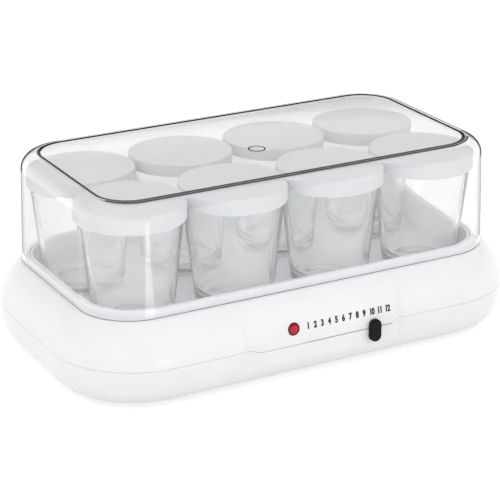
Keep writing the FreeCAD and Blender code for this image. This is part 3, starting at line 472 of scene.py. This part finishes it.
class Nodes:
    """A material's node tree with a Principled shader and helpers to add nodes to it."""

    def __init__(self, name):
        self.material = bpy.data.materials.new(name)
        self.material.use_nodes = True
        self.tree = self.material.node_tree
        self.shader = next(n for n in self.tree.nodes if n.type == "BSDF_PRINCIPLED")
        self.output = next(n for n in self.tree.nodes if n.type == "OUTPUT_MATERIAL")
        self.place = self.add("ShaderNodeTexCoord").outputs["Object"]

    def add(self, kind, **settings):
        node = self.tree.nodes.new(kind)
        for name, value in settings.items():
            setattr(node, name, value)
        return node

    def link(self, source, target):
        self.tree.links.new(source, target)

    def set(self, **values):
        for name, value in values.items():
            self.shader.inputs[name.replace("_", " ")].default_value = value

    def noise(self, scale, detail):
        node = self.add("ShaderNodeTexNoise")
        node.inputs["Scale"].default_value = scale
        node.inputs["Detail"].default_value = detail
        self.link(self.place, node.inputs["Vector"])
        return node.outputs["Fac"]

    def ramp(self, source, low, high, start=NOISE_LOW, end=NOISE_HIGH):
        node = self.add("ShaderNodeValToRGB")
        node.color_ramp.elements[0].position = start
        node.color_ramp.elements[1].position = end
        node.color_ramp.elements[0].color = (*low, 1)
        node.color_ramp.elements[1].color = (*high, 1)
        self.link(source, node.inputs["Fac"])
        return node.outputs["Color"]

    def span(self, source, low, high, start=NOISE_LOW, end=NOISE_HIGH):
        node = self.add("ShaderNodeMapRange")
        node.inputs["From Min"].default_value = start
        node.inputs["From Max"].default_value = end
        node.inputs["To Min"].default_value = low
        node.inputs["To Max"].default_value = high
        self.link(source, node.inputs["Value"])
        return node.outputs["Result"]

    def bump(self, source, strength, distance):
        node = self.add("ShaderNodeBump")
        node.inputs["Strength"].default_value = strength
        node.inputs["Distance"].default_value = distance
        self.link(source, node.inputs["Height"])
        self.link(node.outputs["Normal"], self.shader.inputs["Normal"])

    def vary(self, low, high, rough, scale, grain_scale=None, grain=0.0, grain_depth=FINE_DEPTH):
        """Colour and roughness that drift slowly over the surface, with an optional fine grain."""
        drift = self.noise(scale, DRIFT_DETAIL)
        self.link(self.ramp(drift, low, high), self.shader.inputs["Base Color"])
        fine = self.noise(grain_scale or scale * FINE_RATIO, FINE_DETAIL)
        self.link(self.span(fine, *rough), self.shader.inputs["Roughness"])
        if grain:
            self.bump(fine, grain, grain_depth)

    def paint_rim_shade(self, dark, start, end):
        """Painted shade: clear walls that are looked through edge on are painted darker, in place of the
        dark room that glass shows there.
        """
        weight = self.add("ShaderNodeLayerWeight")
        shade = self.ramp(weight.outputs["Facing"], UNTINTED, dark, start, end)
        both = self.add("ShaderNodeVectorMath", operation="MULTIPLY")
        colour = self.shader.inputs["Base Color"]
        self.link(colour.links[0].from_socket, both.inputs[0])
        self.link(shade, both.inputs[1])
        self.link(both.outputs["Vector"], colour)

    def larger(self, first, second):
        node = self.add("ShaderNodeMath", operation="MAXIMUM")
        self.link(first, node.inputs[0])
        self.link(second, node.inputs[1])
        return node.outputs["Value"]

    def open_to_light(self, tint=UNTINTED, lamps_only=True, painted_edge_shade=None):
        """Lets light from lamps pass straight through clear material, tinted, and unless lamps_only that of
        the room too.
        The edge argument is two facings and a share: between the facings, a wall that is looked at more and
        more edge on is painted darker up to that share, as painted shade in place of the dark room that
        glass shows edge on."""
        path = self.add("ShaderNodeLightPath")
        passing = path.outputs["Is Shadow Ray"]
        if not lamps_only:
            passing = self.larger(passing, path.outputs["Is Diffuse Ray"])
        clear = self.add("ShaderNodeBsdfTransparent")
        clear.inputs["Color"].default_value = (*tint, 1)
        share = passing
        if painted_edge_shade:
            facing = self.add("ShaderNodeLayerWeight").outputs["Facing"]
            start, end, most = painted_edge_shade
            share = self.larger(passing, self.span(facing, 0.0, most, start, end))
            self.link(self.ramp(passing, EDGE_SHADE, tint, 0.0, 1.0), clear.inputs["Color"])
        mix = self.add("ShaderNodeMixShader")
        self.link(share, mix.inputs["Fac"])
        self.link(self.shader.outputs["BSDF"], mix.inputs[1])
        self.link(clear.outputs["BSDF"], mix.inputs[2])
        self.link(mix.outputs["Shader"], self.output.inputs["Surface"])


def white_plastic():
    m = Nodes("white_moulded_plastic")
    m.vary((0.86, 0.865, 0.885), (0.89, 0.895, 0.91), rough=(0.16, 0.22), scale=30,
           grain_scale=900, grain=0.04)
    m.set(IOR=1.5)
    return m.material


# Painted light: the tray is grey, but its colour is painted far paler to make up for the light that the
# jars and lids keep from it.
def grey_tray():
    m = Nodes("grey_tray_painted_paler")
    m.vary((0.88, 0.89, 0.91), (0.91, 0.92, 0.94), rough=(0.35, 0.45), scale=25,
           grain_scale=1500, grain=0.08)
    return m.material


def clear_cover(name, low=(0.985, 0.987, 0.992), high=(0.992, 0.994, 0.998), painted_edge_shade=None):
    m = Nodes(name)
    m.vary(low, high, rough=(0.0, 0.02), scale=20)
    m.set(IOR=COVER_IOR, Transmission_Weight=1.0)
    m.open_to_light(lamps_only=False, painted_edge_shade=painted_edge_shade)
    return m.material


def painted_shade_glass(name, low, high, ior):
    """Clear material tinted dark where a bend of the cover turns the light away: painted shade in place of
    the darkness seen there.
    """
    m = Nodes(name)
    m.vary(low, high, rough=(0.05, 0.1), scale=60)
    m.set(IOR=ior, Transmission_Weight=1.0)
    m.open_to_light(lamps_only=False)
    return m.material


def jar_glass(name, painted_rim_shade=None):
    m = Nodes(name)
    m.vary((0.99, 0.995, 0.995), (0.995, 1.0, 1.0), rough=(0.0, 0.015), scale=40)
    m.set(IOR=1.4, Transmission_Weight=0.9)
    if painted_rim_shade:
        m.paint_rim_shade(painted_rim_shade, *JAR_RIM_FACING)
    m.open_to_light()
    return m.material


def frosted_lid():
    m = Nodes("frosted_lid_plastic")
    m.vary((0.91, 0.915, 0.93), (0.94, 0.945, 0.955), rough=(0.42, 0.52), scale=40,
           grain_scale=1200, grain=0.05)
    m.set(IOR=1.45, Transmission_Weight=0.35)
    m.open_to_light(tint=(0.8, 0.8, 0.81))
    return m.material


def red_lens():
    m = Nodes("red_lamp_lens")
    m.vary((0.5, 0.01, 0.016), (0.58, 0.014, 0.022), rough=(0.18, 0.26), scale=300)
    m.set(IOR=1.3, Coat_Weight=0.2, Coat_Roughness=0.08)
    return m.material


# Painted shade: the red lens plastic made darker for the rim, where the lens curves away from the light.
def painted_shade_rim():
    m = Nodes("lens_rim_painted_shade")
    m.vary((0.1, 0.004, 0.007), (0.14, 0.006, 0.009), rough=(0.25, 0.35), scale=300)
    m.set(IOR=1.3)
    return m.material


def black_plastic():
    m = Nodes("black_grained_plastic")
    m.vary((0.003, 0.003, 0.004), (0.013, 0.013, 0.014), rough=(0.4, 0.62), scale=1400,
           grain_scale=2600, grain=0.5, grain_depth=COARSE_DEPTH)
    m.set(IOR=1.22)
    return m.material


def scale_ink():
    m = Nodes("black_scale_ink")
    m.vary((0.006, 0.006, 0.007), (0.014, 0.014, 0.015), rough=(0.45, 0.6), scale=900)
    m.set(IOR=1.28)
    return m.material


def plain_finish(name, low, high, rough, metal):
    m = Nodes(name)
    m.vary(low, high, rough, PLAIN_SCALE, PLAIN_GRAIN_SCALE, PLAIN_GRAIN)
    m.set(Metallic=metal)
    return m.material


def dress_frame():
    """Finishes for the pieces that keep their own shape, by material slot."""
    finishes = {
        "white_shell": white_plastic(),
        "grey_tray": grey_tray(),
        "black_knob": black_plastic(),
    }
    for slot, look in PLAIN_FINISHES.items():
        finishes[slot] = plain_finish(*look)
    for entry in frame["record"]["subparts"]:
        finish = finishes.get(entry["material_slot"])
        if finish is not None:
            mesh = frame["nodes"][entry["node"]].data
            mesh.materials.clear()
            mesh.materials.append(finish)


# Studio, in metres, degrees and watts, with the camera's lens in millimetres

FLOOR_SIZE = 8.0
CAMERA_TARGET = (0, 0, 0.0566)
CAMERA_AZIMUTH = -28.86
CAMERA_ELEVATION = 21.05
CAMERA_DISTANCE = 1.2466
CAMERA_LENS = 135.53
CAMERA_SHIFT = (-0.0077, -0.0103)
LOW_STRIP_PLACE = (-0.061, -0.368, 0.004)
LOW_STRIP_SIZE = (0.065, 0.31)
LOW_STRIP_AZIMUTH = 10
LOW_STRIP_POWER = 0.13
# Softboxes: name, azimuth, elevation, distance, width and height, power
SOFTBOXES = (
    ("front_left_box", -60, 18, 1.6, (1.6, 0.9), 1.2),
    ("front_right_box", 35, 15, 1.8, (1.4, 0.8), 1.4),
    ("back_box", 150, 35, 1.8, (1.6, 1.4), 1.2),
)
# Brightness of the room low and high up, and the rise of the rays from where to where it changes
ROOM_LIGHT = (0.76, 1.06, 0.12, 0.36)
ROOM_LOOK = (1.0, 0.4, 0.12, 0.34)
# Colour and glow of the floor, for rays that gather light and for rays that show it
FLOOR_SHADES = (0.87, 0.35)
FLOOR_GLOW = (0.0, 0.78)
LIGHT_BOUNCES = 32


def direction(azimuth, elevation):
    turn, rise = math.radians(azimuth), math.radians(elevation)
    return Vector((math.sin(turn) * math.cos(rise), -math.cos(turn) * math.cos(rise), math.sin(rise)))


def build_camera():
    data = bpy.data.cameras.new("camera")
    data.lens = CAMERA_LENS
    data.shift_x, data.shift_y = CAMERA_SHIFT
    camera = bpy.data.objects.new("camera", data)
    back = direction(CAMERA_AZIMUTH, CAMERA_ELEVATION)
    camera.location = Vector(CAMERA_TARGET) + back * CAMERA_DISTANCE
    camera.rotation_euler = back.to_track_quat("Z", "Y").to_euler()
    bpy.context.scene.collection.objects.link(camera)
    bpy.context.scene.camera = camera


def area_lamp(name, size, power):
    data = bpy.data.lights.new(name, "AREA")
    data.shape = "RECTANGLE"
    data.size, data.size_y = size
    data.energy = power
    lamp = bpy.data.objects.new(name, data)
    lamp.visible_camera = False
    bpy.context.scene.collection.objects.link(lamp)
    return lamp


def softbox(name, azimuth, elevation, distance, size, power):
    """A lamp that faces the object from a direction."""
    lamp = area_lamp(name, size, power)
    back = direction(azimuth, elevation)
    lamp.location = Vector(CAMERA_TARGET) + back * distance
    lamp.rotation_euler = back.to_track_quat("Z", "Y").to_euler()


def low_strip():
    """A narrow lamp that lies in front of the object, face up, and glints in the cover's corner."""
    lamp = area_lamp("low_strip", LOW_STRIP_SIZE, LOW_STRIP_POWER)
    lamp.location = LOW_STRIP_PLACE
    lamp.rotation_euler = (math.pi, 0, math.radians(LOW_STRIP_AZIMUTH))


def seen_directly(tree):
    """1 for rays that show the studio, directly or through gloss and glass, and 0 for those that gather
    light on a surface, through the clear cover or not."""
    path = tree.nodes.new("ShaderNodeLightPath")

    def combine(operation, first, second):
        node = tree.nodes.new("ShaderNodeMath")
        node.operation = operation
        tree.links.new(first, node.inputs[0])
        tree.links.new(second, node.inputs[1])
        return node.outputs["Value"]

    seen = combine("MAXIMUM", path.outputs["Is Camera Ray"], path.outputs["Is Glossy Ray"])
    seen = combine("MAXIMUM", seen, path.outputs["Is Transmission Ray"])
    return combine("GREATER_THAN", seen, path.outputs["Diffuse Depth"])


def between(tree, factor, low, high, start=0.0, end=1.0):
    """A value that goes from low to high as the factor goes from start to end."""
    span = tree.nodes.new("ShaderNodeMapRange")
    for name, value in (("From Min", start), ("From Max", end), ("To Min", low), ("To Max", high)):
        span.inputs[name].default_value = value
    tree.links.new(factor, span.inputs["Value"])
    return span.outputs["Result"]


def build_world():
    """A white studio that sheds a little more light from above than from the sides, though gloss and
    glass show its ceiling darker than its walls."""
    world = bpy.data.worlds.new("studio")
    world.use_nodes = True
    tree = world.node_tree
    background = next(n for n in tree.nodes if n.type == "BACKGROUND")
    background.inputs["Color"].default_value = (1, 1, 1, 1)
    ray = tree.nodes.new("ShaderNodeTexCoord")
    parts = tree.nodes.new("ShaderNodeSeparateXYZ")
    tree.links.new(ray.outputs["Generated"], parts.inputs["Vector"])
    strength = tree.nodes.new("ShaderNodeMix")
    tree.links.new(seen_directly(tree), strength.inputs["Factor"])
    tree.links.new(between(tree, parts.outputs["Z"], *ROOM_LIGHT), strength.inputs["A"])
    tree.links.new(between(tree, parts.outputs["Z"], *ROOM_LOOK), strength.inputs["B"])
    tree.links.new(strength.outputs["Result"], background.inputs["Strength"])
    bpy.context.scene.world = world


def build_floor():
    mesh_data = bmesh.new()
    bmesh.ops.create_grid(mesh_data, x_segments=1, y_segments=1, size=FLOOR_SIZE / 2)
    mesh = bpy.data.meshes.new("floor")
    mesh_data.to_mesh(mesh)
    mesh_data.free()
    floor = bpy.data.objects.new("floor", mesh)
    bpy.context.scene.collection.objects.link(floor)
    material = bpy.data.materials.new("pale_floor")
    material.use_nodes = True
    tree = material.node_tree
    tree.nodes.clear()
    seen = seen_directly(tree)
    output = tree.nodes.new("ShaderNodeOutputMaterial")
    diffuse = tree.nodes.new("ShaderNodeBsdfDiffuse")
    tree.links.new(between(tree, seen, *FLOOR_SHADES), diffuse.inputs["Color"])
    glow = tree.nodes.new("ShaderNodeEmission")
    tree.links.new(between(tree, seen, *FLOOR_GLOW), glow.inputs["Strength"])
    both = tree.nodes.new("ShaderNodeAddShader")
    tree.links.new(diffuse.outputs["BSDF"], both.inputs[0])
    tree.links.new(glow.outputs["Emission"], both.inputs[1])
    tree.links.new(both.outputs["Shader"], output.inputs["Surface"])
    mesh.materials.append(material)


def build_studio():
    scene = bpy.context.scene
    scene.view_settings.view_transform = "Standard"
    scene.cycles.max_bounces = LIGHT_BOUNCES
    scene.cycles.transmission_bounces = LIGHT_BOUNCES
    scene.cycles.transparent_max_bounces = LIGHT_BOUNCES
    build_camera()
    build_world()
    build_floor()
    for box in SOFTBOXES:
        softbox(*box)
    low_strip()


dress_frame()
# The outside of each jar takes a painted dark rim where it is seen edge on.
build_jars(jar_glass("pressed_jar_glass"), jar_glass("jar_outer_painted_rim", painted_rim_shade=(0.12, 0.125, 0.13)),
           frosted_lid())
# The top panel of the cover is tinted grey: painted shade over all that is seen through it.
build_cover(clear_cover("cover_panel_painted_shade", (0.91, 0.912, 0.925), (0.94, 0.942, 0.95)),
            # The bend, the side corners and the wall are painted darker where they are seen edge on:
            # painted shade.
            clear_cover("clear_cover_bend", painted_edge_shade=(0.72, 0.9, 0.9)),
            clear_cover("clear_cover_corner", painted_edge_shade=(0.68, 0.8, 0.95)),
            clear_cover("clear_cover_wall", painted_edge_shade=(0.56, 1.0, 0.75)),
            # The foot band here and the dark and grey lines below are glass tinted grey or dark: painted
            # shade.
            painted_shade_glass("cover_foot_painted_shade", (0.86, 0.862, 0.87), (0.9, 0.902, 0.91), ior=COVER_IOR),
            clear_cover("clear_cover_inside"),
            painted_shade_glass("painted_dark_cover_line", (0.002, 0.002, 0.003), (0.005, 0.005, 0.006), ior=1.12),
            painted_shade_glass("painted_grey_cover_line", (0.06, 0.06, 0.062), (0.08, 0.08, 0.082), ior=1.3))
build_lens(red_lens(), painted_shade_rim())
build_scale(scale_ink())
build_studio()
